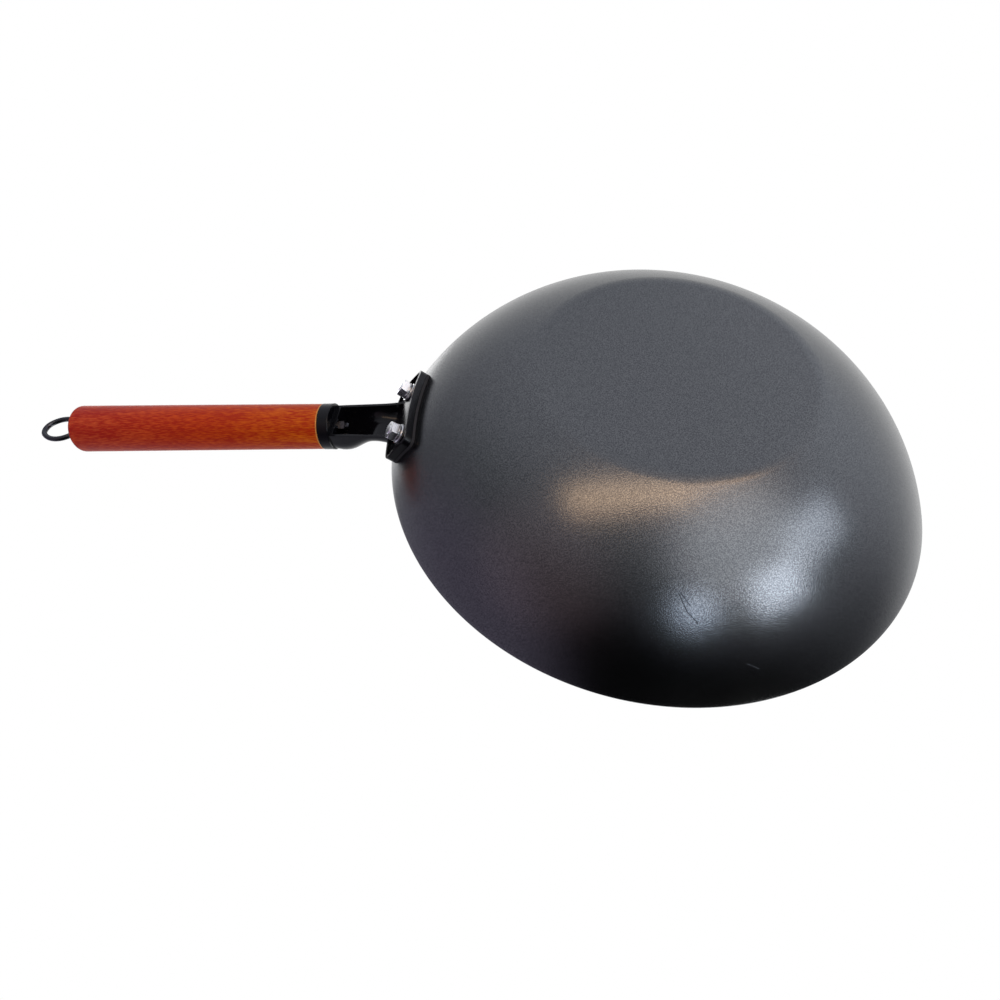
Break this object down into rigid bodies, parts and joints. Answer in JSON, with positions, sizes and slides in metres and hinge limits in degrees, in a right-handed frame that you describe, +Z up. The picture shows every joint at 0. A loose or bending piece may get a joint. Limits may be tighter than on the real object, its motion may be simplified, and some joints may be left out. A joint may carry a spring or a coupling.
{
  "type": "wok",
  "caption": "Flat-based carbon steel wok with a plain rim, a bolted open-channel handle bracket, a turned wood grip and a wire hanging loop.",
  "frame": {"origin": "middle of the flat base's underside", "axes": "+Z up as in use, +X along the handle, +Y to the left of the handle"},
  "size_m": [0.5677, 0.3202, 0.1173],
  "materials": {
    "coated_steel": "fine-grained dark grey coating, satin",
    "pad": "matt black",
    "black_gloss": "gloss black",
    "zinc": "bright zinc plate",
    "grip_wood": "stained and lacquered, amber to red brown",
    "black_wire": "satin black"
  },
  "bodies": {
    "root": {"wok_bowl": "coated_steel", "bracket_pad": "pad", "handle_bracket": "black_gloss", "ferrule_cap": "black_gloss", "bowl_screw": "zinc", "screw_washer": "zinc", "spring_washer": "zinc", "screw_nut": "zinc", "wood_grip": "grip_wood", "tie_rod": "black_wire", "end_washer": "black_wire", "tie_washer": "black_wire", "tie_nut": "black_wire"}
  },
  "joints": []
}
